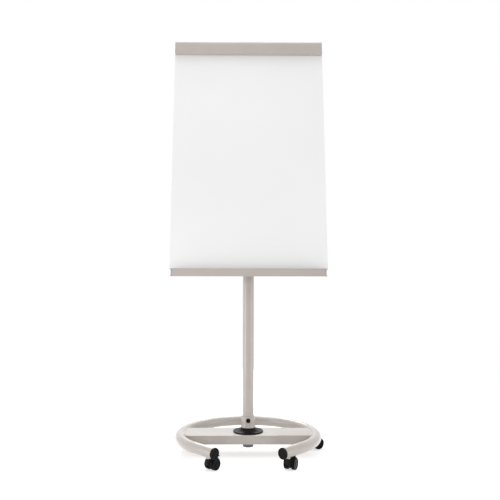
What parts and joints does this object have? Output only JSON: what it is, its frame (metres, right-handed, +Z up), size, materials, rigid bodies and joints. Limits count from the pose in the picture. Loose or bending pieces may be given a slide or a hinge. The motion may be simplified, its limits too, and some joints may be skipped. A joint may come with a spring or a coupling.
{
  "type": "flipchart easel",
  "caption": "Mobile flipchart easel: tilting white board with a hinged paper clamp and pen tray, on a telescopic column and a C-shaped tube base with twin-wheel casters.",
  "frame": {"origin": "on the floor, under the axis of the column, which is also the centre of the base ring", "axes": "+Z up along the column, writing face towards -Y, +X to the right of a person facing the board"},
  "size_m": [0.7038, 0.6813, 1.9115],
  "materials": {
    "paint_taupe": "satin powder coat",
    "profile_taupe": "satin lacquered extrusion",
    "board_white": "smooth white enamel",
    "core_board": "light fibre core",
    "back_grey": "mill sheet",
    "black_plastic": "moulded, slightly grained",
    "wheel_black": "smooth nylon",
    "cap_grey": "moulded grey",
    "steel": "zinc plated",
    "nut_zinc": "cast, dull",
    "glide_nylon": "natural nylon",
    "grip_rubber": "soft black strip"
  },
  "bodies": {
    "base": {"base_ring": "paint_taupe", "ring_end_caps": "black_plastic", "crossbar": "paint_taupe", "base_disc": "black_plastic", "column_socket": "paint_taupe", "socket_screw": "black_plastic", "column_stud": "steel", "foot_washer": "steel", "foot_hand_nut": "nut_zinc", "column_tube": "paint_taupe", "column_bush": "glide_nylon", "height_collar": "black_plastic", "caster_sleeves": "steel", "caster_stems": "steel"},
    "mast": {"mast_tube": "steel", "mast_glide": "glide_nylon", "mast_head": "paint_taupe"},
    "height_knob": {"height_knob": "black_plastic"},
    "board": {"board_face": "board_white", "board_core": "core_board", "board_back": "back_grey", "stiffener_rails": "paint_taupe", "tilt_bracket": "paint_taupe", "bracket_screws": "steel", "friction_washers": "glide_nylon", "pivot_bolt": "steel", "pen_tray": "profile_taupe", "tray_end_caps": "cap_grey", "board_screws": "steel", "hinge_rail": "profile_taupe", "hinge_pins": "steel"},
    "tilt_knob": {"tilt_knob": "black_plastic"},
    "clamp": {"clamp_bar": "profile_taupe", "clamp_end_caps": "cap_grey", "clamp_grip": "grip_rubber"},
    "peg_left": {"pad_peg_left": "black_plastic"},
    "peg_right": {"pad_peg_right": "black_plastic"},
    "caster_1": {"caster_1_body": "black_plastic", "caster_1_axle": "steel"},
    "caster_1_left_wheel": {"caster_1_wheel_left": "wheel_black"},
    "caster_1_right_wheel": {"caster_1_wheel_right": "wheel_black"},
    "brake_1": {"caster_1_brake_lever": "black_plastic"},
    "caster_2": {"caster_2_body": "black_plastic", "caster_2_axle": "steel"},
    "caster_2_left_wheel": {"caster_2_wheel_left": "wheel_black"},
    "caster_2_right_wheel": {"caster_2_wheel_right": "wheel_black"},
    "brake_2": {"caster_2_brake_lever": "black_plastic"},
    "caster_3": {"caster_3_body": "black_plastic", "caster_3_axle": "steel"},
    "caster_3_left_wheel": {"caster_3_wheel_left": "wheel_black"},
    "caster_3_right_wheel": {"caster_3_wheel_right": "wheel_black"},
    "caster_4": {"caster_4_body": "black_plastic", "caster_4_axle": "steel"},
    "caster_4_left_wheel": {"caster_4_wheel_left": "wheel_black"},
    "caster_4_right_wheel": {"caster_4_wheel_right": "wheel_black"},
    "caster_5": {"caster_5_body": "black_plastic", "caster_5_axle": "steel"},
    "caster_5_left_wheel": {"caster_5_wheel_left": "wheel_black"},
    "caster_5_right_wheel": {"caster_5_wheel_right": "wheel_black"}
  },
  "joints": [
    {"name": "mast_slide", "type": "slide", "parent": "base", "child": "mast", "axis": [0, 0, 1], "range_m": [-0.1, 0.15]},
    {"name": "height_knob_turn", "type": "hinge", "parent": "base", "child": "height_knob", "pos_m": [0, 0.0453, 0.866], "axis": [0, 1, 0], "range_deg": [0, 270]},
    {"name": "board_tilt", "type": "hinge", "parent": "mast", "child": "board", "pos_m": [0, 0, 1.03], "axis": [-1, 0, 0], "range_deg": [-10, 30]},
    {"name": "tilt_knob_turn", "type": "hinge", "parent": "board", "child": "tilt_knob", "pos_m": [0.02, 0, 1.03], "axis": [1, 0, 0], "range_deg": [0, 270]},
    {"name": "clamp_open", "type": "hinge", "parent": "board", "child": "clamp", "pos_m": [0, 0.18764, 1.90193], "axis": [-1, 0, 0], "range_deg": [0, 80]},
    {"name": "peg_left_slide", "type": "slide", "parent": "board", "child": "peg_left", "axis": [1, 0, 0], "range_m": [-0.06, 0.06]},
    {"name": "peg_right_slide", "type": "slide", "parent": "board", "child": "peg_right", "axis": [1, 0, 0], "range_m": [-0.06, 0.06]},
    {"name": "caster_1_swivel", "type": "hinge", "parent": "base", "child": "caster_1", "pos_m": [-0.16792, -0.27231, 0.05], "axis": [0, 0, 1], "continuous": true},
    {"name": "caster_1_left_roll", "type": "hinge", "parent": "caster_1", "child": "caster_1_left_wheel", "pos_m": [-0.15186, -0.25447, 0.025], "axis": [0.7431, -0.6691, 0], "continuous": true},
    {"name": "caster_1_right_roll", "type": "hinge", "parent": "caster_1", "child": "caster_1_right_wheel", "pos_m": [-0.15186, -0.25447, 0.025], "axis": [0.7431, -0.6691, 0], "continuous": true},
    {"name": "brake_1_press", "type": "hinge", "parent": "caster_1", "child": "brake_1", "pos_m": [-0.14016, -0.24147, 0.0512], "axis": [-0.7431, 0.6691, 0], "range_deg": [0, 18]},
    {"name": "caster_2_swivel", "type": "hinge", "parent": "base", "child": "caster_2", "pos_m": [0.16792, -0.27231, 0.05], "axis": [0, 0, 1], "continuous": true},
    {"name": "caster_2_left_roll", "type": "hinge", "parent": "caster_2", "child": "caster_2_left_wheel", "pos_m": [0.17807, -0.25056, 0.025], "axis": [0.9063, -0.4226, 0], "continuous": true},
    {"name": "caster_2_right_roll", "type": "hinge", "parent": "caster_2", "child": "caster_2_right_wheel", "pos_m": [0.17807, -0.25056, 0.025], "axis": [0.9063, -0.4226, 0], "continuous": true},
    {"name": "brake_2_press", "type": "hinge", "parent": "caster_2", "child": "brake_2", "pos_m": [0.18546, -0.23469, 0.0512], "axis": [-0.9063, 0.4226, 0], "range_deg": [0, 18]},
    {"name": "caster_3_swivel", "type": "hinge", "parent": "base", "child": "caster_3", "pos_m": [0.29788, 0.07427, 0.05], "axis": [0, 0, 1], "continuous": true},
    {"name": "caster_3_left_roll", "type": "hinge", "parent": "caster_3", "child": "caster_3_left_wheel", "pos_m": [0.32043, 0.08248, 0.025], "axis": [0.342, -0.9397, 0], "continuous": true},
    {"name": "caster_3_right_roll", "type": "hinge", "parent": "caster_3", "child": "caster_3_right_wheel", "pos_m": [0.32043, 0.08248, 0.025], "axis": [0.342, -0.9397, 0], "continuous": true},
    {"name": "caster_4_swivel", "type": "hinge", "parent": "base", "child": "caster_4", "pos_m": [0, 0.307, 0.05], "axis": [0, 0, 1], "continuous": true},
    {"name": "caster_4_left_roll", "type": "hinge", "parent": "caster_4", "child": "caster_4_left_wheel", "pos_m": [0.00417, 0.33064, 0.025], "axis": [0.9848, -0.1736, 0], "continuous": true},
    {"name": "caster_4_right_roll", "type": "hinge", "parent": "caster_4", "child": "caster_4_right_wheel", "pos_m": [0.00417, 0.33064, 0.025], "axis": [0.9848, -0.1736, 0], "continuous": true},
    {"name": "caster_5_swivel", "type": "hinge", "parent": "base", "child": "caster_5", "pos_m": [-0.29197, 0.09487, 0.05], "axis": [0, 0, 1], "continuous": true},
    {"name": "caster_5_left_roll", "type": "hinge", "parent": "caster_5", "child": "caster_5_left_wheel", "pos_m": [-0.26807, 0.09696, 0.025], "axis": [0.0872, -0.9962, 0], "continuous": true},
    {"name": "caster_5_right_roll", "type": "hinge", "parent": "caster_5", "child": "caster_5_right_wheel", "pos_m": [-0.26807, 0.09696, 0.025], "axis": [0.0872, -0.9962, 0], "continuous": true}
  ]
}
